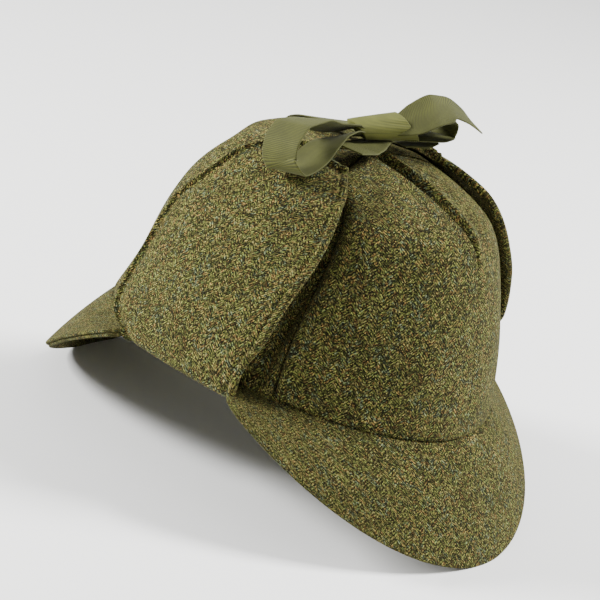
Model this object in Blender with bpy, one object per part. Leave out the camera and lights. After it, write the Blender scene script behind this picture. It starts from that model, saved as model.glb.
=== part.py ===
"""A soft deerstalker hat: six crown panels, a front and a rear peak of two cloth
layers each, two ear flaps folded up, and the ribbon that ties them over the top.

+Y is the wearer's rear, +X the wearer's left, +Z up. The hat rests on the
middle of its two peaks, so z = 0 is the surface it stands on.
"""

import math

import bmesh
import bpy
import numpy as np

# Headline: the seam line between the crown and everything sewn below it.
HEAD_HALF_LENGTH = 0.104
HEAD_HALF_WIDTH = 0.0865
HEADLINE_Z = 0.057
HEADLINE_DIP = 0.0053  # lower than HEADLINE_Z at front and rear, higher at the sides

CROWN_HEIGHT = 0.107
CROWN_CLOTH = 0.0026
APEX_TO_REAR = 0.0103
PANEL_GAP = 0.0004  # half the gap left along a seam
TIP_SHARE = 0.993  # the panels stop just short of the apex, under the knot
TIP_EDGE_SHARE = 0.35  # most of a panel's angle that each seam margin may take at its tip
PANEL_ROWS = 15
PANEL_COLUMNS = 8
SEAM_ANGLES = (0, 65, 115, 180, 245, 295, 360)  # degrees, from the rear, towards +X

# Crown profile: share of the way up the cloth, then shares of the height and of
# the headline's half sizes at the sides, the rear and the front.
CROWN_ROWS = (
    # cloth, height, side, rear, front
    (0.00, 0.000, 1.000, 1.000, 1.000),
    (0.22, 0.300, 0.930, 0.930, 0.883),
    (0.43, 0.580, 0.791, 0.832, 0.838),
    (0.64, 0.820, 0.645, 0.688, 0.689),
    (0.84, 0.955, 0.438, 0.288, 0.549),
    (1.00, 1.000, 0.000, 0.000, 0.000),
)

# Peaks: both cut to one pattern, sewn below the headline.
PEAK_OUT = 0.0298
PEAK_DROP = 0.052
PEAK_CLOTH = 0.0019
PEAK_LAYER_GAP = 0.0004
PEAK_BULGE = 0.002
PEAK_BULGE_OUT = 0.87
PEAK_BULGE_UP = 0.5
PEAK_OUT_POWER = 0.3
PEAK_DROP_INNER_POWER = 1.73
PEAK_DROP_OUTER_POWER = 1.31
PEAK_TURN = 1.23  # turn of the outward direction along the peak, against the headline's own
PEAK_REAR_HALF_ANGLE = 71.0
PEAK_FRONT_HALF_ANGLE = 66.0
PEAK_END_SHARE = 0.985
PEAK_ROWS = 6
PEAK_HALF_COLUMNS = 16
SEWN_GAP = 0.0005  # between the crown's lower edge and what is sewn below it

# Ear flaps: doubled cloth, folded up from the headline over the crown's sides.
FLAP_CLOTH = 0.0042
FLAP_LIE = 0.0060  # outer face from the crown's where the flap lies closest
FLAP_STAND = 0.0140  # outer face from the crown's where it stands off most
FLAP_HEM_DROP = 0.0032
FLAP_HEM_ROWS = 6
FLAP_LIE_ROWS = 16
FLAP_COLUMNS = 14
FLAP_ROWS = (
    # up the flap, front edge: angle, share of crown cloth, share of stand-off, rear edge: the same
    (0.00, 113.0, 0.000, 0.64, 72.5, 0.000, 0.86),
    (0.10, 119.0, 0.014, 0.64, 71.8, 0.054, 0.93),
    (0.25, 126.0, 0.080, 0.57, 69.7, 0.171, 1.00),
    (0.45, 128.6, 0.255, 0.50, 67.4, 0.318, 1.00),
    (0.62, 130.4, 0.417, 0.45, 65.2, 0.451, 0.86),
    (0.76, 126.6, 0.549, 0.43, 64.5, 0.551, 0.71),
    (0.88, 124.7, 0.691, 0.43, 64.6, 0.649, 0.57),
    (0.95, 118.6, 0.778, 0.43, 63.2, 0.723, 0.50),
    (1.00, 103.4, 0.880, 0.43, 61.8, 0.834, 0.43),
)
FLAP_RIGHT_ROWS = (
    # up the right flap, how much further back its rear edge lies: degrees, metres off the crown
    (0.00, 0.0, 0.0000),
    (0.08, 7.0, 0.0010),
    (0.25, 13.0, 0.0020),
    (0.62, 14.0, 0.0020),
    (0.88, 12.0, 0.0015),
    (1.00, 0.0, 0.0000),
)

# Ribbon. Its rows are in ribbon widths from the knot's middle.
RIBBON_WIDTH = 0.020
RIBBON_CLOTH = 0.0010
KNOT_FROM_HEAD = (-0.0029, 0.0140, 0.1177)
KNOT_LENGTH = 0.0150
KNOT_HALF_HEIGHT = 0.0075
KNOT_HALF_DEPTH = 0.0065
KNOT_HEADING = 160.0  # degrees, the way the knot's length runs, from +X towards +Y
KNOT_END_SIZE = 0.8
KNOT_SIDES = 20
TAIL_REAR_CUT = 0.5  # share of the rear tail's length by which its near edge is cut short
TAIL_FRONT_CUT = 0.1

TWEED = (0.12, 0.11, 0.05)
FACING_TWEED = (0.10, 0.09, 0.04)
GROSGRAIN = (0.19, 0.20, 0.08)

BOW_LOOP_FRONT = (
    # middle x, y, z, then the direction across the ribbon x, y, z
    (0.46, -0.18, 0.12, 0.34, 0.94, 0.00),
    (0.98, -0.36, 0.17, 0.20, 0.97, 0.10),
    (1.74, -0.39, 0.19, 0.00, 0.98, 0.17),
    (2.43, -0.41, 0.35, 0.00, 0.98, 0.17),
    (3.11, -0.40, 0.29, 0.00, 0.98, 0.17),
    (3.36, -0.37, 0.10, 0.00, 0.98, 0.17),
    (3.53, -0.33, -0.11, 0.00, 0.98, 0.17),
    (3.57, -0.29, -0.34, 0.00, 0.98, 0.17),
    (3.54, -0.24, -0.54, 0.00, 0.98, 0.17),
    (3.45, -0.15, -0.67, 0.00, 0.98, 0.17),
    (3.24, -0.11, -0.79, 0.00, 0.98, 0.17),
    (2.94, -0.11, -0.73, 0.00, 0.98, 0.17),
    (2.47, -0.16, -0.56, 0.00, 0.98, 0.17),
    (2.03, -0.23, -0.27, 0.00, 0.98, 0.17),
    (1.56, -0.30, -0.09, 0.00, 0.98, 0.17),
    (1.05, -0.30, -0.06, 0.20, 0.97, 0.05),
    (0.46, -0.18, -0.09, 0.34, 0.94, 0.00),
)
BOW_LOOP_REAR = (
    (-0.46, 0.17, 0.08, 0.34, 0.94, 0.00),
    (-0.70, 0.18, 0.20, 0.20, 0.97, 0.10),
    (-1.05, 0.15, 0.34, 0.00, 0.98, 0.17),
    (-1.62, 0.15, 0.37, 0.00, 0.98, 0.17),
    (-2.00, 0.15, 0.26, 0.00, 0.98, 0.17),
    (-2.21, 0.18, 0.10, 0.00, 0.98, 0.17),
    (-2.17, 0.21, -0.05, 0.00, 0.98, 0.17),
    (-2.05, 0.23, -0.15, 0.00, 0.98, 0.17),
    (-1.83, 0.27, -0.11, 0.00, 0.99, 0.00),
    (-1.52, 0.29, -0.08, 0.00, 0.99, -0.10),
    (-1.11, 0.27, -0.06, 0.00, 0.99, -0.10),
    (-0.74, 0.25, -0.09, 0.20, 0.97, -0.05),
    (-0.46, 0.17, -0.10, 0.34, 0.94, 0.00),
)
BOW_TAIL_REAR = (
    (-0.34, 0.35, 0.25, 0.34, 0.85, -0.40),
    (-0.50, 0.46, 0.42, 0.36, 0.82, -0.45),
    (-0.66, 0.61, 0.61, 0.28, 0.77, -0.57),
    (-0.93, 0.74, 0.75, 0.37, 0.80, -0.47),
    (-1.27, 0.86, 0.79, 0.57, 0.76, -0.31),
    (-1.61, 1.08, 0.64, 0.68, 0.71, -0.18),
    (-1.93, 1.31, 0.41, 0.63, 0.78, -0.06),
    (-2.26, 1.54, 0.17, 0.60, 0.80, 0.00),
)
BOW_TAIL_FRONT = (
    (-0.30, -0.46, -0.25, 0.97, -0.20, 0.00),
    (-0.30, -0.98, -0.29, 0.95, -0.30, 0.02),
    (-0.45, -1.85, -0.43, 0.93, -0.36, 0.03),
    (-0.78, -2.64, -0.68, 0.89, -0.45, 0.06),
    (-1.02, -3.04, -0.92, 0.83, -0.56, 0.05),
    (-1.19, -3.29, -1.24, 0.83, -0.55, 0.06),
)
TIE_LEFT = (
    (1.74, 0.22, -0.20, 0.10, 0.99, 0.03),
    (1.33, 0.22, -0.24, 0.15, 0.98, 0.04),
    (0.92, 0.15, -0.28, 0.20, 0.97, 0.04),
    (0.44, 0.00, -0.30, 0.25, 0.96, 0.00),
)
TIE_RIGHT = (
    (-0.46, 0.17, -0.30, 0.20, 0.98, 0.00),
    (-0.75, 0.20, -0.28, 0.10, 0.99, 0.00),
    (-1.10, 0.24, -0.27, 0.00, 1.00, 0.00),
    (-1.45, 0.22, -0.20, -0.10, 0.99, 0.03),
)


def smooth(rows, column, share):
    """A column of a table at a share of its first column, with no overshoot between rows."""
    at = np.array([row[0] for row in rows], float)
    value = np.array([row[column] for row in rows], float)
    step = np.diff(at)
    slope = np.diff(value) / step
    tangent = np.zeros(len(at))
    for k in range(1, len(at) - 1):
        if slope[k - 1] * slope[k] > 0:
            left = 2 * step[k] + step[k - 1]
            right = step[k] + 2 * step[k - 1]
            tangent[k] = (left + right) / (left / slope[k - 1] + right / slope[k])
    tangent[0] = slope[0]
    tangent[-1] = slope[-1]
    k = int(np.clip(np.searchsorted(at, share) - 1, 0, len(step) - 1))
    s = (share - at[k]) / step[k]
    return (
        (1 + 2 * s) * (1 - s) ** 2 * value[k]
        + s * (1 - s) ** 2 * step[k] * tangent[k]
        + s * s * (3 - 2 * s) * value[k + 1]
        + s * s * (s - 1) * step[k] * tangent[k + 1]
    )


def crown_point(angle, cloth):
    """The crown's outer face at an angle from the rear and a share of the way up its cloth."""
    height, side = smooth(CROWN_ROWS, 1, cloth), smooth(CROWN_ROWS, 2, cloth)
    length = smooth(CROWN_ROWS, 3 if math.cos(angle) > 0 else 4, cloth)
    return np.array((
        HEAD_HALF_WIDTH * math.sin(angle) * side,
        HEAD_HALF_LENGTH * math.cos(angle) * length + APEX_TO_REAR * max(height, 0) ** 1.5,
        HEADLINE_Z + CROWN_HEIGHT * height - HEADLINE_DIP * math.cos(2 * angle) * (1 - height),
    ))


def crown_normal(angle, cloth):
    step = 0.002
    low, high = max(cloth - step, 0), min(cloth + step, TIP_SHARE)
    across = crown_point(angle + step, cloth) - crown_point(angle - step, cloth)
    up = crown_point(angle, high) - crown_point(angle, low)
    normal = np.cross(up, across)
    normal[2] *= min(cloth / 0.1, 1)  # level at the headline, so the wall's lower edge is level
    return normal / np.linalg.norm(normal)


def off_crown(angle, cloth, distance):
    return crown_point(angle, cloth) + distance * crown_normal(angle, cloth)


def closed_sheet(name, outer, inner, material):
    """A closed solid between two grids of points of the same shape."""
    rows, columns = len(outer), len(outer[0])
    mesh = bpy.data.meshes.new(name)
    bm = bmesh.new()
    top = [[bm.verts.new(p) for p in row] for row in outer]
    low = [[bm.verts.new(p) for p in row] for row in inner]
    for i in range(rows - 1):
        for j in range(columns - 1):
            bm.faces.new((top[i][j], top[i][j + 1], top[i + 1][j + 1], top[i + 1][j]))
            bm.faces.new((low[i][j], low[i + 1][j], low[i + 1][j + 1], low[i][j + 1]))
    rim = [(i, 0) for i in range(rows)] + [(rows - 1, j) for j in range(1, columns)]
    rim += [(i, columns - 1) for i in range(rows - 2, -1, -1)]
    rim += [(0, j) for j in range(columns - 2, 0, -1)]
    for (i, j), (k, m) in zip(rim, rim[1:] + rim[:1]):
        bm.faces.new((top[i][j], top[k][m], low[k][m], low[i][j]))
    bmesh.ops.triangulate(bm, faces=bm.faces)
    bmesh.ops.recalc_face_normals(bm, faces=bm.faces)
    for face in bm.faces:
        face.smooth = True
    bm.to_mesh(mesh)
    bm.free()
    obj = bpy.data.objects.new(name, mesh)
    obj.data.materials.append(material)
    bpy.context.scene.collection.objects.link(obj)
    return obj


def flipped(grid, signs):
    return [[point * np.array(signs) for point in row] for row in grid]


def cloth_material(name, colour, roughness):
    material = bpy.data.materials.new(name)
    material.use_nodes = True
    shader = material.node_tree.nodes["Principled BSDF"]
    shader.inputs["Base Color"].default_value = (*colour, 1)
    shader.inputs["Roughness"].default_value = roughness
    return material


def build_crown():
    names = ("rear_left", "side_left", "front_left", "front_right", "side_right", "rear_right")
    for k, name in enumerate(names):
        first, last = math.radians(SEAM_ANGLES[k]), math.radians(SEAM_ANGLES[k + 1])
        outer, inner = [], []
        for row in range(PANEL_ROWS + 1):
            up = TIP_SHARE * row / PANEL_ROWS
            seams = (crown_point(first, up), crown_point(last, up))
            radius = min(np.linalg.norm(point[:2] - [0, APEX_TO_REAR]) for point in seams)
            edge = min(math.asin(min(PANEL_GAP / radius, 1)), TIP_EDGE_SHARE * (last - first))
            width = last - first - 2 * edge
            angles = [first + edge + width * j / PANEL_COLUMNS for j in range(PANEL_COLUMNS + 1)]
            outer.append([crown_point(a, up) for a in angles])
            inner.append([off_crown(a, up, -CROWN_CLOTH) for a in angles])
        material = cloth_material("tweed_" + name, TWEED, 0.95)
        closed_sheet("crown_panel_" + name, outer, inner, material)


def peak_point(across, out, half_angle):
    """The rear peak's upper face, across from -1 to 1 and out from the sewn edge to the free one."""
    angle = across * math.radians(half_angle)
    sine, cosine = math.sin(angle), math.cos(angle)
    heading = math.atan2(sine / HEAD_HALF_WIDTH, cosine / HEAD_HALF_LENGTH) * PEAK_TURN
    width = PEAK_OUT * (1 - across**2) ** PEAK_OUT_POWER
    drop = PEAK_DROP * (1 - abs(across) ** PEAK_DROP_INNER_POWER) ** PEAK_DROP_OUTER_POWER
    bulge = PEAK_BULGE * 4 * out * (1 - out) * (1 - across**2)
    root = crown_point(angle, 0)
    return np.array((
        root[0] + math.sin(heading) * (out * width + bulge * PEAK_BULGE_OUT),
        root[1] + math.cos(heading) * (out * width + bulge * PEAK_BULGE_OUT),
        root[2] - SEWN_GAP - out * drop + bulge * PEAK_BULGE_UP,
    ))


def peak_layer(half_angle, depth):
    """The same face moved into the cloth by a depth, and cut level where the hat stands."""
    grid = []
    step = 0.005
    for j in range(PEAK_ROWS + 1):
        out = j / PEAK_ROWS
        low, high = out - 2 * step, out + 2 * step
        row = []
        for k in range(2 * PEAK_HALF_COLUMNS + 1):
            across = PEAK_END_SHARE * math.sin(math.pi / 2 * (k / PEAK_HALF_COLUMNS - 1))
            left, right = across - step, across + step
            run = peak_point(right, out, half_angle) - peak_point(left, out, half_angle)
            down = peak_point(across, high, half_angle) - peak_point(across, low, half_angle)
            normal = np.cross(run, down)
            normal *= math.copysign(1 / np.linalg.norm(normal), normal[2])
            point = peak_point(across, out, half_angle) - depth * normal
            point[2] = max(point[2], 0)
            row.append(point)
        grid.append(row)
    return grid


def build_peaks():
    facing = PEAK_CLOTH + PEAK_LAYER_GAP
    depths = (0, PEAK_CLOTH, facing, facing + PEAK_CLOTH)
    for end, half_angle in (("rear", PEAK_REAR_HALF_ANGLE), ("front", PEAK_FRONT_HALF_ANGLE)):
        faces = [peak_layer(half_angle, depth) for depth in depths]
        if end == "front":
            faces = [flipped(grid, (1, -1, 1)) for grid in faces]
        cover_cloth = cloth_material("tweed_" + end + "_peak", TWEED, 0.95)
        facing_cloth = cloth_material("tweed_" + end + "_facing", FACING_TWEED, 0.95)
        closed_sheet(end + "_peak_cover", faces[0], faces[1], cover_cloth)
        closed_sheet(end + "_peak_facing", faces[2], faces[3], facing_cloth)


def flap_column(share, side):
    """Outer and inner points of a flap along one column, from under the crown up to its tip."""
    outer, inner = [], []
    angle, cloth, base = flap_place(0, share, side)
    for k in range(FLAP_HEM_ROWS):
        turn = math.pi * k / FLAP_HEM_ROWS
        middle_start = -CROWN_CLOTH / 2
        middle_end = base - FLAP_CLOTH / 2
        centre, half = (middle_start + middle_end) / 2, (middle_end - middle_start) / 2
        out, down = centre - half * math.cos(turn), FLAP_HEM_DROP * math.sin(turn)
        normal = np.array((-math.cos(turn) / half, -math.sin(turn) / FLAP_HEM_DROP))
        normal /= np.linalg.norm(normal)
        root, level = crown_point(angle, 0), crown_normal(angle, 0)
        for points, way in ((outer, 1), (inner, -1)):
            reach = out + way * normal[0] * FLAP_CLOTH / 2
            point = root + level * reach
            point[2] = root[2] - SEWN_GAP - down + way * normal[1] * FLAP_CLOTH / 2
            points.append(point)
    for k in range(FLAP_LIE_ROWS + 1):
        angle, cloth, off = flap_place(k / FLAP_LIE_ROWS, share, side)
        outer.append(off_crown(angle, cloth, off))
        inner.append(off_crown(angle, cloth, off - FLAP_CLOTH))
    return outer, inner


def flap_place(up, share, side):
    """Where a flap's outer face is, drawn on the left: its angle, its share of the crown's cloth
    and how far off the crown it stands, which is least in the middle of its width."""
    front = [smooth(FLAP_ROWS, column, up) for column in (1, 2, 3)]
    rear = [smooth(FLAP_ROWS, column, up) for column in (4, 5, 6)]
    off_front, off_rear = FLAP_STAND * front[2] - FLAP_LIE, FLAP_STAND * rear[2] - FLAP_LIE
    if side == "right":
        rear[0] -= smooth(FLAP_RIGHT_ROWS, 1, up)
        off_rear += smooth(FLAP_RIGHT_ROWS, 2, up)
    angle = math.radians(front[0] + (rear[0] - front[0]) * share)
    cloth = front[1] + (rear[1] - front[1]) * share
    return angle, cloth, FLAP_LIE + off_front * (1 - share) ** 2 + off_rear * share**2


def build_flaps():
    for side, sign in (("left", 1), ("right", -1)):
        columns = [flap_column(k / FLAP_COLUMNS, side) for k in range(FLAP_COLUMNS + 1)]
        outer = flipped([column[0] for column in columns], (sign, 1, 1))
        inner = flipped([column[1] for column in columns], (sign, 1, 1))
        closed_sheet("ear_flap_" + side, outer, inner, cloth_material("tweed_flap_" + side, TWEED, 0.95))


def ribbon_frame(table, share):
    """The ribbon's middle, its forward direction and its across direction at a share of its length."""
    step = 0.01
    low, high = max(share - step, 0), min(share + step, 1)
    knot = np.array(KNOT_FROM_HEAD) + (0, 0, HEADLINE_Z)
    middle = np.array([smooth(table, c, share) for c in (1, 2, 3)]) * RIBBON_WIDTH + knot
    forward = np.array([smooth(table, c, high) - smooth(table, c, low) for c in (1, 2, 3)])
    forward /= np.linalg.norm(forward)
    across = np.array([smooth(table, c, share) for c in (4, 5, 6)])
    across -= forward * np.dot(across, forward)
    return middle, forward, across / np.linalg.norm(across)


def ribbon_strip(name, rows, count, material, end_cut=0.0):
    """A flat ribbon through the rows' middles. end_cut slants its end across the width."""
    table = [(k / (len(rows) - 1), *row) for k, row in enumerate(rows)]
    outer, inner = [], []
    for k in range(count + 1):
        top, low = [], []
        for side in (-1, 0, 1):
            share = k / count * (1 - end_cut * (side + 1) / 2)
            middle, forward, across = ribbon_frame(table, share)
            point = middle + across * side * RIBBON_WIDTH / 2
            face = np.cross(forward, across)
            top.append(point + face * RIBBON_CLOTH / 2)
            low.append(point - face * RIBBON_CLOTH / 2)
        outer.append(top)
        inner.append(low)
    closed_sheet(name, outer, inner, material)


def build_knot(material):
    """The knot: a rounded wad of ribbon, long across the bow."""
    heading = math.radians(KNOT_HEADING)
    along = np.array((math.cos(heading), math.sin(heading), 0))
    side = np.array((math.sin(heading), -math.cos(heading), 0))
    knot = np.array(KNOT_FROM_HEAD) + (0, 0, HEADLINE_Z)
    bm = bmesh.new()
    rings = []
    for k in range(9):
        place = k / 4 - 1
        size = KNOT_END_SIZE + (1 - KNOT_END_SIZE) * math.sqrt(1 - place**4)
        ring = []
        for j in range(KNOT_SIDES):
            turn = 2 * math.pi * j / KNOT_SIDES
            ring.append(bm.verts.new(
                knot
                + along * place * KNOT_LENGTH / 2
                + side * KNOT_HALF_DEPTH * size * math.cos(turn)
                + np.array((0, 0, KNOT_HALF_HEIGHT * size * math.sin(turn)))
            ))
        rings.append(ring)
    for low, high in zip(rings, rings[1:]):
        for j in range(KNOT_SIDES):
            k = (j + 1) % KNOT_SIDES
            bm.faces.new((low[j], low[k], high[k], high[j]))
    bm.faces.new(rings[0])
    bm.faces.new(rings[-1])
    bmesh.ops.triangulate(bm, faces=bm.faces)
    bmesh.ops.recalc_face_normals(bm, faces=bm.faces)
    mesh = bpy.data.meshes.new("bow_knot")
    for face in bm.faces:
        face.smooth = len(face.verts) == 4
    bm.to_mesh(mesh)
    bm.free()
    obj = bpy.data.objects.new("bow_knot", mesh)
    obj.data.materials.append(material)
    bpy.context.scene.collection.objects.link(obj)


def build_ribbon():
    material = cloth_material("ribbon", GROSGRAIN, 0.6)
    build_knot(material)
    ribbon_strip("bow_loop_front", BOW_LOOP_FRONT, 42, material)
    ribbon_strip("bow_loop_rear", BOW_LOOP_REAR, 32, material)
    ribbon_strip("bow_tail_rear", BOW_TAIL_REAR, 20, material, TAIL_REAR_CUT)
    ribbon_strip("bow_tail_front", BOW_TAIL_FRONT, 20, material, TAIL_FRONT_CUT)
    ribbon_strip("tie_left", TIE_LEFT, 8, material)
    ribbon_strip("tie_right", TIE_RIGHT, 8, material)


for old in list(bpy.data.objects):
    bpy.data.objects.remove(old)
build_crown()
build_peaks()
build_flaps()
build_ribbon()
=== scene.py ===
"""A soft tweed deerstalker hat, its ear flaps tied up over the crown with a ribbon bow.

+Y is the wearer's rear, +X the wearer's left, +Z up. The hat stands on its two peaks at z = 0.
"""

import math

import bmesh
import bpy
import numpy as np
from mathutils import Matrix, Vector


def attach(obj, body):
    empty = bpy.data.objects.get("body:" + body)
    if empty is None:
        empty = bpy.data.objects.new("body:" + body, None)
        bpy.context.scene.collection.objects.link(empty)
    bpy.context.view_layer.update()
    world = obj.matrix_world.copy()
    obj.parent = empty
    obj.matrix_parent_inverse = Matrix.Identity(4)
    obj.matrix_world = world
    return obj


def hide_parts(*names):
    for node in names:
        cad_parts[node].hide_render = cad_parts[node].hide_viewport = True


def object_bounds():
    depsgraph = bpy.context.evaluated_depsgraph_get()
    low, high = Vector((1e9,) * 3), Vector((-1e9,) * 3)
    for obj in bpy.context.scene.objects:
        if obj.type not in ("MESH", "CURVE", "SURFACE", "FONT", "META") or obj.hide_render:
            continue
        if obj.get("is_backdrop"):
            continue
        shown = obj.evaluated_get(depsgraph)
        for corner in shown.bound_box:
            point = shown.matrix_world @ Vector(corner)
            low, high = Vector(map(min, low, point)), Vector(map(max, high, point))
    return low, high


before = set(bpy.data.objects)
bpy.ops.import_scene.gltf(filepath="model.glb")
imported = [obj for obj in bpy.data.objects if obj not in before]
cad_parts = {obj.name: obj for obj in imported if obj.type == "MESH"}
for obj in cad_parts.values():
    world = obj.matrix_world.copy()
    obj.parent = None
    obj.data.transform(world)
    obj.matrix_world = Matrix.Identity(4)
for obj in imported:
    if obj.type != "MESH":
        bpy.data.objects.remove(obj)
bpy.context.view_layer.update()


# Crown: six gores of wool tweed, each cut on the straight grain and sewn edge to edge with the
# seam allowances pressed inside. The cloth is soft, so every gore swells between its seams, the side
# seams sink in, the flaps draw a hollow behind them, and the rear seam lifts a ridge near the top.

HEAD_HALF_LENGTH = 0.104
HEAD_HALF_WIDTH = 0.0865
HEADLINE_Z = 0.057
HEADLINE_DIP = 0.0053
CROWN_HEIGHT = 0.107
CROWN_CLOTH = 0.0026
APEX_TO_REAR = 0.0103
APEX_LEAN_POWER = 1.5
SEAM_ANGLES = (0, 65, 115, 180, 245, 295, 360)
GORES = ("rear_left", "side_left", "front_left", "front_right", "side_right", "rear_right")
CROWN_ROWS = (
    # cloth, height, side, rear, front
    (0.00, 0.000, 1.000, 1.000, 1.000),
    (0.22, 0.300, 0.930, 0.930, 0.883),
    (0.43, 0.580, 0.791, 0.832, 0.838),
    (0.64, 0.820, 0.645, 0.688, 0.689),
    (0.84, 0.955, 0.438, 0.288, 0.549),
    (1.00, 1.000, 0.000, 0.000, 0.000),
)


def eased(rows, column, share):
    """A column of a table at shares of its first column, with no overshoot between rows."""
    at = np.array([row[0] for row in rows], float)
    value = np.array([row[column] for row in rows], float)
    step = np.diff(at)
    slope = np.diff(value) / step
    tangent = np.zeros(len(at))
    tangent[0], tangent[-1] = slope[0], slope[-1]
    for k in range(1, len(at) - 1):
        if slope[k - 1] * slope[k] > 0:
            left, right = 2 * step[k] + step[k - 1], step[k] + 2 * step[k - 1]
            tangent[k] = (left + right) / (left / slope[k - 1] + right / slope[k])
    share = np.asarray(share, float)
    k = np.clip(np.searchsorted(at, share) - 1, 0, len(step) - 1)
    s = (share - at[k]) / step[k]
    return (
        (1 + 2 * s) * (1 - s) ** 2 * value[k]
        + s * (1 - s) ** 2 * step[k] * tangent[k]
        + s * s * (3 - 2 * s) * value[k + 1]
        + s * s * (s - 1) * step[k] * tangent[k + 1]
    )


def crown_face(angle, cloth):
    """The crown's outer face at angles from the rear and shares of the way up its cloth."""
    height, side = eased(CROWN_ROWS, 1, cloth), eased(CROWN_ROWS, 2, cloth)
    rear, front = eased(CROWN_ROWS, 3, cloth), eased(CROWN_ROWS, 4, cloth)
    length = np.where(np.cos(angle) > 0, rear, front)
    lean = APEX_TO_REAR * np.maximum(height, 0) ** APEX_LEAN_POWER
    return np.stack((
        HEAD_HALF_WIDTH * np.sin(angle) * side,
        HEAD_HALF_LENGTH * np.cos(angle) * length + lean,
        HEADLINE_Z + CROWN_HEIGHT * height - HEADLINE_DIP * np.cos(2 * angle) * (1 - height),
    ), axis=-1)


def unit(vectors):
    size = np.linalg.norm(vectors, axis=-1, keepdims=True)
    return np.where(size > 1e-9, vectors / np.maximum(size, 1e-9), (0.0, 0.0, 1.0))


def off_crown(angle, cloth, distance):
    """Points at distances out from the crown's outer face. The way out is level at the headline."""
    step, top, square_from = 0.002, 0.996, 0.1
    low, high = np.maximum(cloth - step, 0), np.minimum(cloth + step, top)
    across = crown_face(angle + step, cloth) - crown_face(angle - step, cloth)
    out = np.cross(crown_face(angle, high) - crown_face(angle, low), across)
    out[..., 2] *= np.minimum(cloth / square_from, 1)
    return crown_face(angle, cloth) + unit(out) * np.asarray(distance)[..., None]


def close_at_ends(count):
    """Shares from 0 to 1 that crowd together at both ends, where an edge rounds over."""
    return 0.5 - 0.5 * np.cos(math.pi * np.arange(count + 1) / count)


def lengths(points, axis):
    steps = np.linalg.norm(np.diff(points, axis=axis), axis=-1)
    first = np.zeros_like(np.take(steps, [0], axis=axis))
    return np.cumsum(np.concatenate((first, steps), axis=axis), axis=axis)


def cloth_piece(
    name, face, thickness, material, replaced, relief=0.0, shift=0.0, edge=None, floor=None
):
    """One closed piece of cloth under a grid of points (rows, columns) on its outer face.

    The edges round over to the middle of the cloth within a distance, edge. relief lifts the
    outer face alone, less towards the edges, and shift moves the whole cloth outwards. The UV map
    is the cloth laid flat, in metres, with V along the columns.
    """
    down_rows, down_columns = np.gradient(face, axis=0), np.gradient(face, axis=1)
    out = unit(np.cross(down_columns, down_rows))
    along, up = lengths(face, 1), lengths(face, 0)
    from_side = np.minimum(along, along[:, -1:] - along)
    from_end = np.minimum(up, up[-1:, :] - up)
    near = np.clip(np.minimum(from_side, from_end) / (thickness / 2 if edge is None else edge), 0, 1)
    half = thickness / 2 * np.sqrt(1 - (1 - near) ** 2)
    middle = face + out * (np.zeros_like(up) + shift - thickness / 2)[..., None]
    lift = half + relief * near
    sides = (middle + out * lift[..., None], middle - out * half[..., None])
    centre = face.shape[1] // 2
    along, up = lengths(sides[0], 1), lengths(sides[0], 0)
    flat = np.stack((along - along[:, [centre]], np.broadcast_to(up[:, [centre]], along.shape)), -1)
    rows, columns = face.shape[0] - 1, face.shape[1] - 1
    bm = bmesh.new()
    weave = bm.loops.layers.uv.new("cloth")
    for side, points in enumerate(sides):
        if floor is not None:
            points[..., 2] = np.maximum(points[..., 2], floor)
        made = bmesh.ops.create_grid(bm, x_segments=columns, y_segments=rows, size=1)["verts"]
        place = {v: (round((v.co.y + 1) / 2 * rows), round((v.co.x + 1) / 2 * columns)) for v in made}
        for f in {f for v in made for f in v.link_faces}:
            for loop in f.loops:
                loop[weave].uv = flat[place[loop.vert]]
        for v, at in place.items():
            v.co = points[at]
    bmesh.ops.remove_doubles(bm, verts=bm.verts, dist=1e-6)
    bmesh.ops.dissolve_degenerate(bm, edges=bm.edges, dist=1e-7)
    bmesh.ops.recalc_face_normals(bm, faces=bm.faces)
    for f in bm.faces:
        f.smooth = True
    mesh = bpy.data.meshes.new(name)
    bm.to_mesh(mesh)
    bm.free()
    piece = bpy.data.objects.new(name, mesh)
    mesh.materials.append(material)
    bpy.context.scene.collection.objects.link(piece)
    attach(piece, "root")
    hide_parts(replaced)
    return piece


def linear(hex_colour):
    """An sRGB hex colour as linear RGBA."""
    parts = [int(hex_colour[k : k + 2], 16) / 255 for k in (1, 3, 5)]
    return (*[c / 12.92 if c <= 0.04045 else ((c + 0.055) / 1.055) ** 2.4 for c in parts], 1)


def add(tree, kind, settings=None, **sockets):
    """A node with its settings. A socket goes by its name, or as i0, i1 by its number.

    It takes a value, another node's output, or a node for its first output.
    """
    node = tree.nodes.new(kind)
    for key, value in (settings or {}).items():
        setattr(node, key, value)
    for key, value in sockets.items():
        numbered = key[0] == "i" and key[1:].isdigit()
        socket = node.inputs[int(key[1:]) if numbered else key.replace("_", " ")]
        if isinstance(value, bpy.types.Node):
            value = value.outputs[0]
        if isinstance(value, bpy.types.NodeSocket):
            tree.links.new(value, socket)
        else:
            socket.default_value = value
    return node


def new_material(name):
    material = bpy.data.materials.new(name)
    material.use_nodes = True
    tree = material.node_tree
    tree.nodes.clear()
    shader = add(tree, "ShaderNodeBsdfPrincipled")
    add(tree, "ShaderNodeOutputMaterial", Surface=shader.outputs[0])
    return material, tree, shader


def laid_flat(tree):
    """The piece's cloth laid flat, in millimetres."""
    cloth = add(tree, "ShaderNodeUVMap", {"uv_map": "cloth"})
    return add(tree, "ShaderNodeVectorMath", {"operation": "SCALE"}, i0=cloth, Scale=1000.0)


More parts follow.
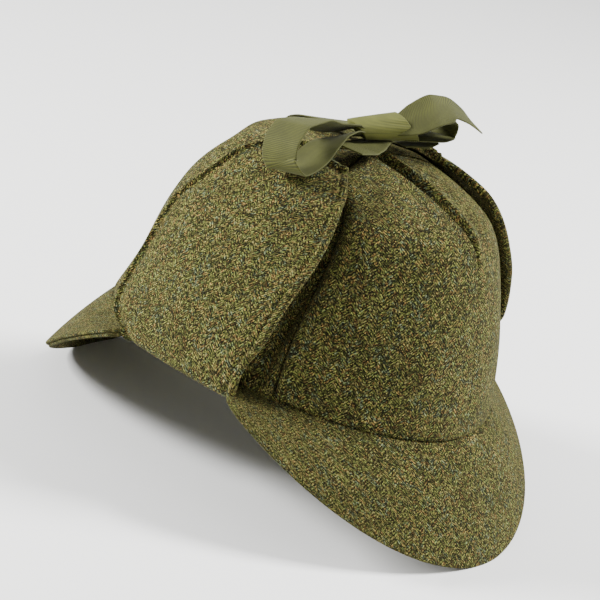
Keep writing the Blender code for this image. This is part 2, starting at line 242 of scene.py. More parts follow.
# Wool tweed in a herringbone: coarse yarns spun from dyed fleece of many shades, so each float
# of yarn is lighter or darker than the next, and tufts of rust, ochre, moss and slate fleece
# run through the olive. The face is fuzzy and has no gloss.
COLUMN_MM = 4.6
TWILL_MM = 1.6  # from one twill line to the next
TWILL_LIGHT = 0.46
FLOAT_MM = (0.42, 0.74)  # a yarn float's width and length
FLOAT_LIGHT = 3.3
FLOAT_DARK = 0.12
FLOAT_POWER = 3.0  # leaves most floats dark and few of them light
TUFT_MM = (0.9, 1.8)
YARN_WANDER_MM = 0.4
WANDER_PER_MM = 0.24
WORN_PER_MM = 0.06
WORN_LIGHT = (0.88, 1.12)
TUFT_CLOUDS_PER_MM = 0.10
FUZZ_PER_MM = 2.6
FLEECE = (
    # share of the tufts below this one, colour
    (0.00, "#434521"),
    (0.38, "#494527"),
    (0.62, "#514123"),
    (0.74, "#504925"),
    (0.85, "#3d4526"),
    (0.93, "#3f4532"),
)


def tweed(name, shade=1.0):
    """Herringbone tweed. Each cell of yarn lies along its twill line and has its own tone. shade scales all
    the colour; below 1 it is painted shade.
    """
    material, tree, shader = new_material(name)
    cloth = laid_flat(tree)
    wander = add(tree, "ShaderNodeTexNoise", {"noise_dimensions": "2D"},
                 Vector=cloth, Scale=WANDER_PER_MM, Detail=2.0)
    mm = add(tree, "ShaderNodeVectorMath", {"operation": "MULTIPLY_ADD"},
             i0=wander.outputs["Color"], i1=(YARN_WANDER_MM, YARN_WANDER_MM, 0), i2=cloth)
    split = add(tree, "ShaderNodeSeparateXYZ", Vector=mm)
    zigzag = add(tree, "ShaderNodeMath", {"operation": "PINGPONG"}, i0=split.outputs["X"], i1=COLUMN_MM)
    rising = add(tree, "ShaderNodeMath", {"operation": "ADD"}, i0=split.outputs["Y"], i1=zigzag)
    falling = add(tree, "ShaderNodeMath", {"operation": "SUBTRACT"}, i0=split.outputs["Y"], i1=zigzag)
    columns = add(tree, "ShaderNodeMath", {"operation": "DIVIDE"}, i0=split.outputs["X"], i1=COLUMN_MM)
    column = add(tree, "ShaderNodeMath", {"operation": "FLOOR"}, i0=columns)
    cells = []
    for width, length in (FLOAT_MM, TUFT_MM):
        x = add(tree, "ShaderNodeMath", {"operation": "DIVIDE"}, i0=rising, i1=width * math.sqrt(2))
        y = add(tree, "ShaderNodeMath", {"operation": "DIVIDE"}, i0=falling, i1=length * math.sqrt(2))
        place = add(tree, "ShaderNodeCombineXYZ", X=x, Y=y, Z=column)
        cells.append(add(tree, "ShaderNodeTexVoronoi", {"voronoi_dimensions": "3D"}, Vector=place, Scale=1.0))
    yarns, tufts = cells
    yarn_chance = add(tree, "ShaderNodeSeparateColor", Color=yarns.outputs["Color"])
    tuft_chance = add(tree, "ShaderNodeSeparateColor", Color=tufts.outputs["Color"])

    turns = add(tree, "ShaderNodeMath", {"operation": "MULTIPLY"}, i0=rising, i1=2 * math.pi / TWILL_MM)
    twill = add(tree, "ShaderNodeMath", {"operation": "SINE"}, i0=turns)
    lines = add(tree, "ShaderNodeMath", {"operation": "MULTIPLY_ADD"}, i0=twill, i1=TWILL_LIGHT, i2=1.0)
    few = add(tree, "ShaderNodeMath", {"operation": "POWER"}, i0=yarn_chance, i1=FLOAT_POWER)
    floats = add(tree, "ShaderNodeMath", {"operation": "MULTIPLY_ADD"}, i0=few, i1=FLOAT_LIGHT, i2=FLOAT_DARK)
    woven = add(tree, "ShaderNodeMath", {"operation": "MULTIPLY"}, i0=floats, i1=lines)
    drift = add(tree, "ShaderNodeTexNoise", {"noise_dimensions": "2D"},
                Vector=mm, Scale=WORN_PER_MM, Detail=3.0)
    worn = add(tree, "ShaderNodeMapRange",
               Value=drift, i1=0.3, i2=0.7, i3=WORN_LIGHT[0] * shade, i4=WORN_LIGHT[1] * shade)
    bright = add(tree, "ShaderNodeMath", {"operation": "MULTIPLY"}, i0=woven, i1=worn)

    cloud = add(tree, "ShaderNodeTexNoise", {"noise_dimensions": "2D"},
                Vector=mm, Scale=TUFT_CLOUDS_PER_MM, Detail=3.0)
    around_cloud = add(tree, "ShaderNodeMath", {"operation": "SUBTRACT"}, i0=tuft_chance, i1=0.5)
    fleece_share = add(tree, "ShaderNodeMath", {"operation": "ADD"}, i0=cloud, i1=around_cloud)
    ramp = add(tree, "ShaderNodeValToRGB", Fac=fleece_share)
    ramp.color_ramp.interpolation = "CONSTANT"
    stops = ramp.color_ramp.elements
    while len(stops) < len(FLEECE):
        stops.new(1.0)
    for stop, (share, colour) in zip(stops, FLEECE):
        stop.position = share
        stop.color = linear(colour)
    colour = add(tree, "ShaderNodeVectorMath", {"operation": "SCALE"}, i0=ramp, Scale=bright)

    fuzz = add(tree, "ShaderNodeTexNoise", {"noise_dimensions": "2D"},
               Vector=mm, Scale=FUZZ_PER_MM, Detail=2.0)
    domes = add(tree, "ShaderNodeMath", {"operation": "MULTIPLY_ADD"},
                i0=yarns.outputs["Distance"], i1=-0.8, i2=fuzz)
    height = add(tree, "ShaderNodeMath", {"operation": "MULTIPLY_ADD"}, i0=twill, i1=0.35, i2=domes)
    bump = add(tree, "ShaderNodeBump", Strength=0.7, Distance=0.0003, Height=height)
    tree.links.new(colour.outputs[0], shader.inputs["Base Color"])
    tree.links.new(bump.outputs[0], shader.inputs["Normal"])
    shader.inputs["Roughness"].default_value = 0.95
    shader.inputs["Specular IOR Level"].default_value = 0.08
    shader.inputs["Sheen Weight"].default_value = 0.08
    shader.inputs["Sheen Roughness"].default_value = 0.5
    shader.inputs["Sheen Tint"].default_value = linear("#c8c08e")
    return material


crown_tweed = tweed("herringbone_tweed_crown")
GORE_COLUMNS = 76
GORE_ROWS = 90
GORE_STARTS = {"rear": 0.009, "side": -0.010, "front": 0.006}  # shares of the way up the cloth
GORE_SWELL = 0.0010
SWELL_TOP = 1.1  # above 1, so that the swell runs out below the apex
SLACK = 0.0005  # faint waves where the soft cloth isn't pulled tight
SLACK_WAVES = ((9, 7), (4, 11))  # radians of wave to a radian round the crown, and to the whole way up
DART_ENDS_UP = 0.60  # share of the cloth below which the rear seam is a plain butted one
DART_OPENS_OVER = 0.12
RIDGE_HEIGHT = 0.0036  # the rear seam's allowances, lying towards the wearer's right
RIDGE_PEAK_IN = 0.0019
RIDGE_BELOW_DART = 0.06
RIDGE_GROWS_OVER = 0.25
RIDGE_POWER = 0.7
RIDGE_FOOT_DEEP = 0.0018
RIDGE_FOOT_WIDE = 0.0018
SEAM_ROUND = 0.0013
SEAM_BUTTED = 0.05  # share of that rounding where a seam is butted
SEAM_DEEP = 0.0028
SEAM_WIDE = 0.0008
HOLLOW_HALF_WIDTH = math.radians(3.1)
HOLLOW_ROWS = (
    # up the cloth, angle from the rear, depth: the flaps pull the crown in behind their rear edges
    (0.00, math.radians(71.0), 0.0004),
    (0.12, math.radians(69.8), 0.0080),
    (0.28, math.radians(68.0), 0.0125),
    (0.45, math.radians(66.6), 0.0110),
    (0.62, math.radians(65.8), 0.0050),
    (0.80, math.radians(65.0), 0.0000),
    (1.00, math.radians(65.0), 0.0000),
)
SEAM_CURL = 0.0010  # the lower edge turns in under itself along the headline
SEAM_CURL_UP = 0.0020

for k, gore in enumerate(GORES):
    first, last = math.radians(SEAM_ANGLES[k + 1]), math.radians(SEAM_ANGLES[k])
    starts = GORE_STARTS[gore.split("_")[0]]
    share, up = np.meshgrid(close_at_ends(GORE_COLUMNS), starts + (1 - starts) * close_at_ends(GORE_ROWS))
    angle = first + (last - first) * share
    face = crown_face(angle, up)
    from_first, above = lengths(face, 1), lengths(face, 0)
    from_last = from_first[:, -1:] - from_first
    bowed = np.sin(math.pi * share)
    relief = GORE_SWELL * bowed * np.sin(math.pi * np.clip(up * SWELL_TOP, 0, 1))
    relief -= SEAM_CURL * np.exp(-((above / SEAM_CURL_UP) ** 2))
    slack = SLACK * bowed
    for phase, (round_crown, up_cloth) in enumerate(SLACK_WAVES):
        slack = slack * np.sin(angle * round_crown + up * up_cloth + phase)
    relief += slack
    from_rear = np.minimum(angle, 2 * math.pi - angle)
    pulled_in = np.exp(-(((from_rear - eased(HOLLOW_ROWS, 1, up)) / HOLLOW_HALF_WIDTH) ** 2))
    shift = -eased(HOLLOW_ROWS, 2, up) * pulled_in
    for seam_angle, from_seam in ((SEAM_ANGLES[k + 1], from_first), (SEAM_ANGLES[k], from_last)):
        if seam_angle % 180:  # the seams at the middle of the front and the rear don't sink in
            shift -= SEAM_DEEP * np.exp(-((from_seam / SEAM_WIDE) ** 2))
    edge = np.full_like(up, SEAM_ROUND)
    opens = np.clip((up - DART_ENDS_UP) / DART_OPENS_OVER, 0, 1)
    butted = edge * np.maximum(opens, SEAM_BUTTED)
    if gore == "rear_right":
        rise = np.clip((up - DART_ENDS_UP + RIDGE_BELOW_DART) / RIDGE_GROWS_OVER, 0, 1) ** RIDGE_POWER
        steep = from_first / RIDGE_PEAK_IN
        relief += RIDGE_HEIGHT * rise * steep * np.exp(1 - steep)
        edge = np.where(share < 0.5, butted, edge)
    if gore == "rear_left":
        relief -= RIDGE_FOOT_DEEP * opens * np.exp(-((from_last / RIDGE_FOOT_WIDE) ** 2))
        edge = np.where(share > 0.5, butted, edge)
    cloth_piece("gore_" + gore, face, CROWN_CLOTH, crown_tweed, "crown_panel_" + gore,
                relief, shift, edge)


# Peaks: a front and a rear one, each a stiff tweed cover and a tweed facing sewn together round
# the free edge, which leaves a fine groove between them. Both are sewn in under the crown's edge.

PEAK_OUT = 0.0298
PEAK_DROP = 0.052
PEAK_CLOTH = 0.0019
PEAK_LAYER_GAP = 0.0002
PEAK_BULGE = 0.002
PEAK_BULGE_OUT = 0.87
PEAK_BULGE_UP = 0.5
PEAK_OUT_POWER = 0.3
PEAK_DROP_INNER_POWER = 1.73
PEAK_DROP_OUTER_POWER = 1.31
PEAK_TURN = 1.23
PEAK_HALF_ANGLES = {"rear": 74.0, "front": 66.8}
PEAK_END_SHARE = 0.985
PEAK_TUCK = 0.05  # share of the peak that goes in under the crown's lower edge
PEAK_TUCK_IN = 0.0030
PEAK_TUCK_UP = 0.0026
PEAK_COLUMNS = 140
PEAK_ROWS = 40
# painted shade: the facings under the peaks take the same tweed at nine tenths of its colour
FACING_PAINTED_SHADE = 0.9


def peak_face(across, out, half_angle):
    """A peak's upper face at shares from end to end, -1 to 1, and from the headline out."""
    angle = across * math.radians(half_angle)
    heading = np.arctan2(np.sin(angle) / HEAD_HALF_WIDTH, np.cos(angle) / HEAD_HALF_LENGTH) * PEAK_TURN
    width = PEAK_OUT * (1 - across**2) ** PEAK_OUT_POWER
    drop = PEAK_DROP * (1 - np.abs(across) ** PEAK_DROP_INNER_POWER) ** PEAK_DROP_OUTER_POWER
    bulge = PEAK_BULGE * 4 * np.maximum(out, 0) * (1 - out) * (1 - across**2)
    root = crown_face(angle, np.zeros_like(angle))
    tucked = np.clip(-out / PEAK_TUCK, 0, 1)
    out = np.maximum(out, 0)
    reach = out * width + bulge * PEAK_BULGE_OUT - tucked * PEAK_TUCK_IN
    rise = bulge * PEAK_BULGE_UP + tucked**3 * PEAK_TUCK_UP - out * drop
    return root + np.stack((np.sin(heading) * reach, np.cos(heading) * reach, rise), -1)


peak_tweed = tweed("herringbone_tweed_peaks")
# the facings' tweed is darkened as painted shade on the peaks' undersides
facing_tweed = tweed("herringbone_tweed_facings_painted_shade", FACING_PAINTED_SHADE)
for end, half_angle in PEAK_HALF_ANGLES.items():
    across = PEAK_END_SHARE * np.sin(math.pi / 2 * np.linspace(-1, 1, PEAK_COLUMNS + 1))
    out = -PEAK_TUCK + (1 + PEAK_TUCK) * close_at_ends(PEAK_ROWS)
    across, out = np.meshgrid(across, out)
    upper = peak_face(across, out, half_angle)
    normal = unit(np.cross(np.gradient(upper, axis=1), np.gradient(upper, axis=0)))
    turn = np.array((1, 1, 1)) if end == "rear" else np.array((-1, -1, 1))
    under = upper - normal * (PEAK_CLOTH + PEAK_LAYER_GAP)
    cloth_piece("peak_" + end + "_cover", upper * turn, PEAK_CLOTH, peak_tweed,
                end + "_peak_cover", floor=0)
    cloth_piece("peak_" + end + "_facing", under * turn, PEAK_CLOTH, facing_tweed,
                end + "_peak_facing", floor=0)


# Ear flaps: two flaps of doubled tweed, turned out along their free edge and topstitched 4 mm in.
# They are sewn in under the crown at each side, fold out and up over it, and stand a little off it.

FLAP_CLOTH = 0.0042
FLAP_LIE = 0.0060
FLAP_STAND = 0.0140
FLAP_HEM_DROP = 0.0032
FLAP_SEWN_GAP = 0.0005
FLAP_STITCH_IN = 0.0042
FLAP_STITCH_DEEP = 0.0022
FLAP_STEP = 0.0009
FLAP_HOLLOW = 0.0050
FLAP_RIM_ROLL = 0.0011  # the thick turned edge stands proud along the stitches and rolls off
FLAP_RIM_WIDE = 0.0028
FLAP_REAR_STITCH_DEEP = 0.0007
FLAP_REAR_STITCH_WIDE = 0.0010
FLAP_COLUMNS = 140
FLAP_FOLD_ROWS = 24
FLAP_LIE_ROWS = 120
FLAP_ROWS = (
    # up the flap, front edge: angle, share of crown cloth, share of stand-off, rear edge: the same
    (0.00, 114.2, 0.000, 0.64, 73.0, 0.000, 0.86),
    (0.10, 119.0, 0.014, 0.64, 72.8, 0.054, 0.95),
    (0.25, 126.0, 0.080, 0.57, 69.7, 0.171, 1.00),
    (0.45, 128.6, 0.255, 0.50, 67.4, 0.318, 1.00),
    (0.62, 130.4, 0.417, 0.45, 65.2, 0.451, 0.86),
    (0.76, 126.6, 0.549, 0.43, 64.5, 0.551, 0.71),
    (0.88, 124.7, 0.691, 0.43, 64.6, 0.649, 0.57),
    (0.95, 118.6, 0.778, 0.43, 63.2, 0.723, 0.50),
    (1.00, 103.4, 0.880, 0.43, 61.8, 0.834, 0.43),
)
FLAP_RIGHT_ROWS = (
    # up the right flap, how much further to the rear its rear edge lies: degrees, then off the crown
    (0.00, 0.0, 0.0000),
    (0.08, 7.0, 0.0010),
    (0.25, 13.0, 0.0020),
    (0.62, 14.0, 0.0020),
    (0.88, 12.0, 0.0015),
    (1.00, 0.0, 0.0000),
)


def flap_place(up, share, side):
    """Angle, share of crown cloth and stand-off of a flap's outer face, drawn on the left side."""
    front = [eased(FLAP_ROWS, c, up) for c in (1, 2, 3)]
    rear = [eased(FLAP_ROWS, c, up) for c in (4, 5, 6)]
    at_front, at_rear = FLAP_STAND * front[2] - FLAP_LIE, FLAP_STAND * rear[2] - FLAP_LIE
    if side == "right":
        rear[0] = rear[0] - eased(FLAP_RIGHT_ROWS, 1, up)
        at_rear = at_rear + eased(FLAP_RIGHT_ROWS, 2, up)
    angle = np.radians(front[0] + (rear[0] - front[0]) * share)
    cloth = front[1] + (rear[1] - front[1]) * share
    return angle, cloth, FLAP_LIE + at_front * (1 - share) ** 2 + at_rear * share**2


def flap_face(side):
    """A flap's outer face from inside the crown's edge, round the fold and up to its tip."""
    shares = close_at_ends(FLAP_COLUMNS)
    turns = np.linspace(0, math.pi, FLAP_FOLD_ROWS + 1)[:-1]
    share, turn = np.meshgrid(shares, turns)
    angle, _, stand = flap_place(np.zeros_like(share), share, side)
    inner, outer = -CROWN_CLOTH / 2, stand - FLAP_CLOTH / 2
    centre, half = (inner + outer) / 2, (outer - inner) / 2
    way = np.stack((-np.cos(turn) / half, -np.sin(turn) / FLAP_HEM_DROP), -1)
    way /= np.linalg.norm(way, axis=-1, keepdims=True)
    off = centre - half * np.cos(turn) + way[..., 0] * FLAP_CLOTH / 2
    level = off_crown(angle, np.zeros_like(angle), off)
    level[..., 2] += -FLAP_SEWN_GAP - FLAP_HEM_DROP * np.sin(turn) + way[..., 1] * FLAP_CLOTH / 2
    share, up = np.meshgrid(shares, np.sin(math.pi / 2 * np.linspace(0, 1, FLAP_LIE_ROWS)))
    lie = off_crown(*flap_place(up, share, side))
    return np.concatenate((level, lie), axis=0)


flap_tweed = tweed("herringbone_tweed_flaps")
for side, sign in (("left", 1), ("right", -1)):
    face = flap_face(side)[:, ::sign] * np.array((sign, 1, 1))
    along, up = lengths(face, 1), lengths(face, 0)
    across_back = along[:, -1:] - along
    from_front, from_rear = (along, across_back) if side == "left" else (across_back, along)
    from_free_edge = np.minimum(from_front, up[-1:, :] - up)
    relief = FLAP_RIM_ROLL * np.exp(-(((from_free_edge - FLAP_STITCH_IN) / FLAP_RIM_WIDE) ** 2))
    relief -= FLAP_RIM_ROLL * np.exp(-((from_free_edge / FLAP_RIM_WIDE) ** 2))
    inside = np.maximum(from_free_edge - FLAP_STITCH_IN, 0)
    relief -= FLAP_STITCH_DEEP * np.clip(inside / FLAP_STEP, 0, 1) * np.exp(-((inside / FLAP_HOLLOW) ** 2))
    from_stitch = (from_rear - FLAP_STITCH_IN) / FLAP_REAR_STITCH_WIDE
    relief -= FLAP_REAR_STITCH_DEEP * np.exp(-(from_stitch**2))
    cloth_piece("flap_" + side, face, FLAP_CLOTH, flap_tweed, "ear_flap_" + side, relief)


# Ribbon: olive grosgrain 20 mm wide, sewn to the tip of each flap and tied over the crown in a
# bow of two loops and two tails. Stiff cross ribs 0.8 mm apart and a firm woven edge hold the
# loops open. The rear tail is cut on the slant.

RIBBON_WIDTH = 0.020
RIBBON_CLOTH = 0.0008
KNOT_FROM_HEAD = (-0.0029, 0.0140, 0.1177)
RIBBON_COLUMNS = 20
RIB_MM = 0.8
RIB_SLOPE = 0.36  # share of a rib's spacing in which it rises from the dark line beside it
# painted shade: the groove between the raised ribs is coloured dark
RIB_GROOVE_PAINTED_SHADE = "#2a2c0e"
RIB_OLIVE = "#484a1a"
THREADS_PER_MM = (2.2, 0.5, 1)
DRIFT_PER_MM = 0.12
DYE_LIGHT = (0.86, 1.16)
GATHER_LENGTH = 0.011
GATHER_SHARE = 0.42
GATHER_PLEAT = 0.0002
GATHER_TURNS = 2.5
BOW_LOOP_FRONT = (
    # middle x, y, z in ribbon widths from the knot, then the direction across the ribbon x, y, z
    (0.46, -0.18, 0.12, 0.34, 0.94, 0.00),
    (0.98, -0.36, 0.02, 0.20, 0.84, 0.50),
    (1.74, -0.39, 0.09, 0.00, 0.87, 0.48),
    (2.43, -0.41, 0.33, 0.00, 0.96, 0.26),
    (3.11, -0.40, 0.29, 0.00, 0.98, 0.17),
    (3.36, -0.37, 0.10, 0.00, 0.98, 0.17),
    (3.53, -0.33, -0.11, 0.00, 0.98, 0.17),
    (3.57, -0.29, -0.34, 0.00, 0.98, 0.17),
    (3.54, -0.24, -0.54, 0.00, 0.98, 0.17),
    (3.45, -0.15, -0.67, 0.00, 0.98, 0.17),
    (3.24, -0.11, -0.79, 0.00, 0.98, 0.17),
    (2.94, -0.11, -0.73, 0.00, 0.98, 0.17),
    (2.47, -0.16, -0.56, 0.00, 0.98, 0.17),
    (2.03, -0.23, -0.29, 0.00, 0.96, 0.28),
    (1.56, -0.30, -0.15, 0.05, 0.90, 0.42),
    (1.05, -0.30, -0.12, 0.20, 0.84, 0.50),
    (0.46, -0.18, -0.12, 0.34, 0.84, 0.42),
)
BOW_LOOP_REAR = (
    (-0.46, 0.17, 0.08, 0.34, 0.94, 0.00),
    (-0.70, 0.18, 0.20, 0.20, 0.97, 0.10),
    (-1.05, 0.15, 0.34, 0.00, 0.98, 0.17),
    (-1.62, 0.15, 0.37, 0.00, 0.98, 0.17),
    (-2.00, 0.15, 0.26, 0.00, 0.98, 0.17),
    (-2.21, 0.18, 0.10, 0.00, 0.98, 0.17),
    (-2.17, 0.21, -0.05, 0.00, 0.98, 0.17),
    (-2.05, 0.23, -0.15, 0.00, 0.98, 0.17),
    (-1.83, 0.27, -0.11, 0.00, 0.99, 0.00),
    (-1.52, 0.29, -0.08, 0.00, 0.99, -0.10),
    (-1.11, 0.27, -0.06, 0.00, 0.99, -0.10),
    (-0.74, 0.25, -0.09, 0.20, 0.97, -0.05),
    (-0.46, 0.17, -0.10, 0.34, 0.94, 0.00),
)
BOW_TAIL_REAR = (
    (-0.06, 0.05, 0.08, 0.34, 0.85, -0.40),
    (-0.30, 0.28, 0.25, 0.34, 0.83, -0.45),
    (-0.50, 0.46, 0.43, 0.31, 0.78, -0.54),
    (-0.66, 0.61, 0.60, 0.33, 0.79, -0.52),
    (-0.93, 0.74, 0.75, 0.37, 0.80, -0.47),
    (-1.27, 0.86, 0.79, 0.57, 0.76, -0.31),
    (-1.61, 1.08, 0.64, 0.68, 0.71, -0.18),
    (-1.93, 1.31, 0.41, 0.63, 0.78, -0.06),
    (-2.26, 1.54, 0.17, 0.60, 0.80, 0.00),
)
BOW_TAIL_FRONT = (
    (-0.30, -0.46, -0.25, 0.97, -0.20, 0.00),
    (-0.30, -0.98, -0.29, 0.95, -0.30, 0.02),
    (-0.45, -1.85, -0.43, 0.93, -0.36, 0.03),
    (-0.78, -2.64, -0.68, 0.89, -0.45, 0.06),
    (-1.02, -3.04, -0.92, 0.83, -0.56, 0.05),
    (-1.19, -3.29, -1.24, 0.83, -0.55, 0.06),
)
TIE_LEFT = (
    (1.74, 0.22, -0.20, 0.10, 0.99, 0.03),
    (1.33, 0.22, -0.24, 0.15, 0.98, 0.04),
    (0.92, 0.15, -0.28, 0.20, 0.97, 0.04),
    (0.44, 0.10, -0.26, 0.25, 0.96, 0.00),
    (0.05, 0.05, -0.20, 0.25, 0.96, 0.00),
)
TIE_RIGHT = (
    (-0.46, 0.17, -0.30, 0.20, 0.98, 0.00),
    (-0.75, 0.20, -0.28, 0.10, 0.99, 0.00),
    (-1.10, 0.24, -0.27, 0.00, 1.00, 0.00),
    (-1.45, 0.22, -0.20, -0.10, 0.99, 0.03),
)


def grosgrain(name, shade=1.0):
    """Matt ribbed ribbon: raised cross ribs with painted shade in the groove between them, and uneven
    threads.
    """
    material, tree, shader = new_material(name)
    mm = laid_flat(tree)
    split = add(tree, "ShaderNodeSeparateXYZ", Vector=mm)
    from_line = add(tree, "ShaderNodeMath", {"operation": "PINGPONG"}, i0=split.outputs["Y"], i1=RIB_MM / 2)
    rib = add(tree, "ShaderNodeMapRange", {"interpolation_type": "SMOOTHSTEP"},
              Value=from_line, i1=0.0, i2=RIB_MM * RIB_SLOPE)
    drawn_out = add(tree, "ShaderNodeMapping", Vector=mm, Scale=THREADS_PER_MM)
    thread = add(tree, "ShaderNodeTexNoise", {"noise_dimensions": "2D"},
                 Vector=drawn_out, Scale=1.0, Detail=3.0)
    drift = add(tree, "ShaderNodeTexNoise", {"noise_dimensions": "2D"},
                Vector=mm, Scale=DRIFT_PER_MM, Detail=2.0)
    uneven = add(tree, "ShaderNodeMath", {"operation": "MULTIPLY_ADD"}, i0=thread, i1=0.35, i2=drift)
    # shade scales the ribbon's colour; above 1, as on the knot, it is painted light
    tone = add(tree, "ShaderNodeMapRange",
               Value=uneven, i1=0.4, i2=0.95, i3=DYE_LIGHT[0] * shade, i4=DYE_LIGHT[1] * shade)
    # olive on the ribs and painted shade in the grooves between them
    dye_and_groove_shade = add(tree, "ShaderNodeMix", {"data_type": "RGBA"},
               Factor=rib, i6=linear(RIB_GROOVE_PAINTED_SHADE), i7=linear(RIB_OLIVE))
    colour = add(tree, "ShaderNodeVectorMath", {"operation": "SCALE"}, i0=dye_and_groove_shade.outputs[2], Scale=tone)
    height = add(tree, "ShaderNodeMath", {"operation": "MULTIPLY_ADD"}, i0=thread, i1=0.3, i2=rib)
    bump = add(tree, "ShaderNodeBump", Strength=0.5, Distance=0.0002, Height=height)
    tree.links.new(colour.outputs[0], shader.inputs["Base Color"])
    tree.links.new(bump.outputs[0], shader.inputs["Normal"])
    shader.inputs["Roughness"].default_value = 0.7
    shader.inputs["Specular IOR Level"].default_value = 0.22
    shader.inputs["Sheen Weight"].default_value = 0.06
    shader.inputs["Sheen Roughness"].default_value = 0.4
    return material


ribbon_grosgrain = grosgrain("grosgrain_ribbon")
knot_middle = np.array(KNOT_FROM_HEAD) + (0, 0, HEADLINE_Z)


def ribbon(name, rows, replaced, gathered=(), end_cut=0.0, count=120):
    """A length of ribbon through the rows' middles, gathered where an end goes into the knot.

    end_cut is the share of its length by which one edge is cut shorter than the other.
    """
    table = [(k / (len(rows) - 1), *row) for k, row in enumerate(rows)]
    side, along = np.meshgrid(2 * close_at_ends(RIBBON_COLUMNS) - 1, close_at_ends(count))
    share = along * (1 - end_cut * ((side + 1) / 2) ** 2)
    at = np.stack([eased(table, c, share) for c in (1, 2, 3)], -1)
    step = 0.01
    low, high = np.maximum(share - step, 0), np.minimum(share + step, 1)
    forward = unit(np.stack([eased(table, c, high) - eased(table, c, low) for c in (1, 2, 3)], -1))
    across = np.stack([eased(table, c, share) for c in (4, 5, 6)], -1)
    across = unit(across - forward * (forward * across).sum(-1, keepdims=True))
    path = lengths(at * RIBBON_WIDTH, 0)
    pulled = np.zeros_like(path)
    for end in gathered:
        pulled += np.exp(-((np.abs(path - end * path[-1]) / GATHER_LENGTH) ** 2))
    normal = np.cross(across, forward)
    pleats = GATHER_PLEAT * len(gathered) * pulled * np.cos(side * GATHER_TURNS * math.pi)
    reach = side * RIBBON_WIDTH / 2 * (1 - GATHER_SHARE * pulled)
    middle = at * RIBBON_WIDTH + knot_middle + across * reach[..., None] + normal * pleats[..., None]
    face = middle + normal * RIBBON_CLOTH / 2
    piece = cloth_piece(name, face, RIBBON_CLOTH, ribbon_grosgrain, replaced)


ribbon("ribbon_loop_front", BOW_LOOP_FRONT, "bow_loop_front", (0, 1))
ribbon("ribbon_loop_rear", BOW_LOOP_REAR, "bow_loop_rear", (0, 1))
ribbon("ribbon_tail_rear", BOW_TAIL_REAR, "bow_tail_rear", (0,), end_cut=0.44)
ribbon("ribbon_tail_front", BOW_TAIL_FRONT, "bow_tail_front", end_cut=0.1)
ribbon("ribbon_tie_left", TIE_LEFT, "tie_left", (1,), count=60)
ribbon("ribbon_tie_right", TIE_RIGHT, "tie_right", (0,), count=60)

# Knot: one turn of the same ribbon pulled tight round the loops. It is narrow at its front mouth,
# where it grips the front loop, and opens to the rear, where it runs on into the tail. Drawn tight,
# it is smoother than the loops. Its ribbon is painted lighter than theirs, as painted light.
KNOT_HEADING = math.radians(160)
KNOT_FRONT = (-0.0110, -0.0215)  # place along the knot at its bottom, then at its top
KNOT_REAR = (0.0200, 0.0060)
KNOT_RISE = 0.0030
KNOT_HALF_HEIGHTS = (0.0044, 0.0064)
KNOT_HALF_DEPTHS = (0.0060, 0.0078)
KNOT_FLARE_POWER = 0.8
KNOT_MOUTH = 0.04  # share of the knot at each end in which its wall turns in
KNOT_SQUARE = 2.4  # the power of its section, where 2 is round
KNOT_CREASES = (
    # depth as a share of the section, angle round it at the front, turn towards the rear, half width
    (0.10, 5.1, 0.8, 0.22),
    (0.06, 1.0, -0.5, 0.20),
)
KNOT_WRAP = (0.024, 0.045)  # the turn of ribbon laid flat
# painted light: the knot's ribbon colour is made 1.7 times lighter than the loops'
KNOT_PAINTED_LIGHT = 1.7
KNOT_COLUMNS = 96
KNOT_ROWS = 60


def part_way(pair, share):
    return pair[0] + (pair[1] - pair[0]) * share


knot_axis = np.array((math.cos(KNOT_HEADING), math.sin(KNOT_HEADING), 0))
knot_side = np.array((math.sin(KNOT_HEADING), -math.cos(KNOT_HEADING), 0))
bm = bmesh.new()
weave = bm.loops.layers.uv.new("cloth")
made = bmesh.ops.create_grid(bm, x_segments=KNOT_COLUMNS, y_segments=KNOT_ROWS, size=1)["verts"]
shares = {v: ((v.co.x + 1) / 2, (v.co.y + 1) / 2) for v in made}
for f in bm.faces:
    for loop in f.loops:
        turn, place = shares[loop.vert]
        loop[weave].uv = ((place - 0.5) * KNOT_WRAP[0], turn * KNOT_WRAP[1])
for v, (turn, place) in shares.items():
    angle = 2 * math.pi * turn
    run = min(max((place - KNOT_MOUTH) / (1 - 2 * KNOT_MOUTH), 0), 1)
    high = (1 + math.sin(angle)) / 2
    along = part_way((part_way(KNOT_FRONT, high), part_way(KNOT_REAR, high)), run)
    size = min(place / KNOT_MOUTH, (1 - place) / KNOT_MOUTH, 1) ** 0.5
    size *= sum(abs(c) ** KNOT_SQUARE for c in (math.cos(angle), math.sin(angle))) ** (-1 / KNOT_SQUARE)
    crease = 0
    for depth, at, twist, wide in KNOT_CREASES:
        crease += depth * run * math.exp(-(((angle - at - twist * run) / wide) ** 2))
    size *= 1 - crease
    half_height = part_way(KNOT_HALF_HEIGHTS, run**KNOT_FLARE_POWER)
    half_depth = part_way(KNOT_HALF_DEPTHS, run**KNOT_FLARE_POWER)
    rise = half_height * size * math.sin(angle) + KNOT_RISE * run
    v.co = knot_middle + knot_axis * along + knot_side * half_depth * size * math.cos(angle) + (0, 0, rise)
bmesh.ops.remove_doubles(bm, verts=bm.verts, dist=1e-6)
bmesh.ops.recalc_face_normals(bm, faces=bm.faces)
for f in bm.faces:
    f.smooth = True
mesh = bpy.data.meshes.new("ribbon_knot")
bm.to_mesh(mesh)
bm.free()
knot = bpy.data.objects.new("ribbon_knot", mesh)
# the knot's ribbon is a lighter copy of the loops' colour, painted light
mesh.materials.append(grosgrain("grosgrain_knot_painted_light", KNOT_PAINTED_LIGHT))
bpy.context.scene.collection.objects.link(knot)
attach(knot, "root")
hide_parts("bow_knot")


# Floor, light and camera: a plain white floor, a white sky all round, and two soft lights, at the
# hat's front left and high at its rear right. The camera stands at the wearer's rear left, a little
# above the hat, and leans.
FLOOR_HALF_WIDTH = 20
SKY_LIGHT = 0.60
HAT_MIDDLE = Vector((0, 0, 0.10))
LIGHT_REACH = 1.3

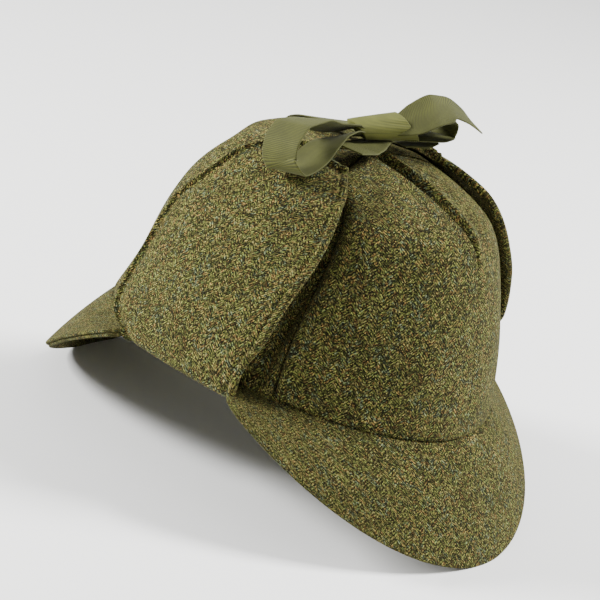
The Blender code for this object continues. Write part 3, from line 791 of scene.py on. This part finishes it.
bm = bmesh.new()
bmesh.ops.create_grid(bm, x_segments=2, y_segments=2, size=FLOOR_HALF_WIDTH)
mesh = bpy.data.meshes.new("floor")
bm.to_mesh(mesh)
bm.free()
floor = bpy.data.objects.new("floor", mesh)
bpy.context.scene.collection.objects.link(floor)
floor_paint, tree, shader = new_material("white_floor")
shader.inputs["Base Color"].default_value = linear("#f4f4f2")
shader.inputs["Roughness"].default_value = 0.8
mesh.materials.append(floor_paint)
floor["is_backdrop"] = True

world = bpy.data.worlds.new("studio")
bpy.context.scene.world = world
world.use_nodes = True
world.node_tree.nodes["Background"].inputs[0].default_value = (1, 1, 1, 1)
world.node_tree.nodes["Background"].inputs[1].default_value = SKY_LIGHT

for name, way, watts, size in (
    ("soft_light_front_left", (0.70, -0.86, 0.60), 64, 0.45),
    ("soft_light_rear_right", (-0.78, 0.60, 1.05), 88, 0.6),
):
    light = bpy.data.lights.new(name, "AREA")
    light.energy = watts
    light.size = size
    lamp = bpy.data.objects.new(name, light)
    lamp.location = HAT_MIDDLE + Vector(way) * LIGHT_REACH
    lamp.rotation_euler = (-Vector(way)).to_track_quat("-Z", "Y").to_euler()
    bpy.context.scene.collection.objects.link(lamp)

CAMERA_AIM = Vector((0, 0, 0.117))
CAMERA_DISTANCE = 1.0376
CAMERA_AZIMUTH = math.radians(123.5753)
CAMERA_ELEVATION = math.radians(17.8946)
CAMERA_ROLL = math.radians(14.3797)
CAMERA_SENSOR_MM = 36
CAMERA_LENS_MM = 126.84
CAMERA_SHIFT = (-0.0492, -0.1139)

back = Vector((math.sin(CAMERA_AZIMUTH) * math.cos(CAMERA_ELEVATION),
               -math.cos(CAMERA_AZIMUTH) * math.cos(CAMERA_ELEVATION), math.sin(CAMERA_ELEVATION)))
level = Vector((math.cos(CAMERA_AZIMUTH), math.sin(CAMERA_AZIMUTH), 0))
raised = back.cross(level)
right = level * math.cos(CAMERA_ROLL) + raised * math.sin(CAMERA_ROLL)
top = raised * math.cos(CAMERA_ROLL) - level * math.sin(CAMERA_ROLL)
camera_data = bpy.data.cameras.new("camera")
camera_data.sensor_width = CAMERA_SENSOR_MM
camera_data.lens = CAMERA_LENS_MM
camera_data.shift_x, camera_data.shift_y = CAMERA_SHIFT
camera = bpy.data.objects.new("camera", camera_data)
turned = Matrix((right, top, back)).transposed().to_4x4()
camera.matrix_world = Matrix.Translation(CAMERA_AIM + back * CAMERA_DISTANCE) @ turned
bpy.context.scene.collection.objects.link(camera)
bpy.context.scene.camera = camera

low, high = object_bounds()
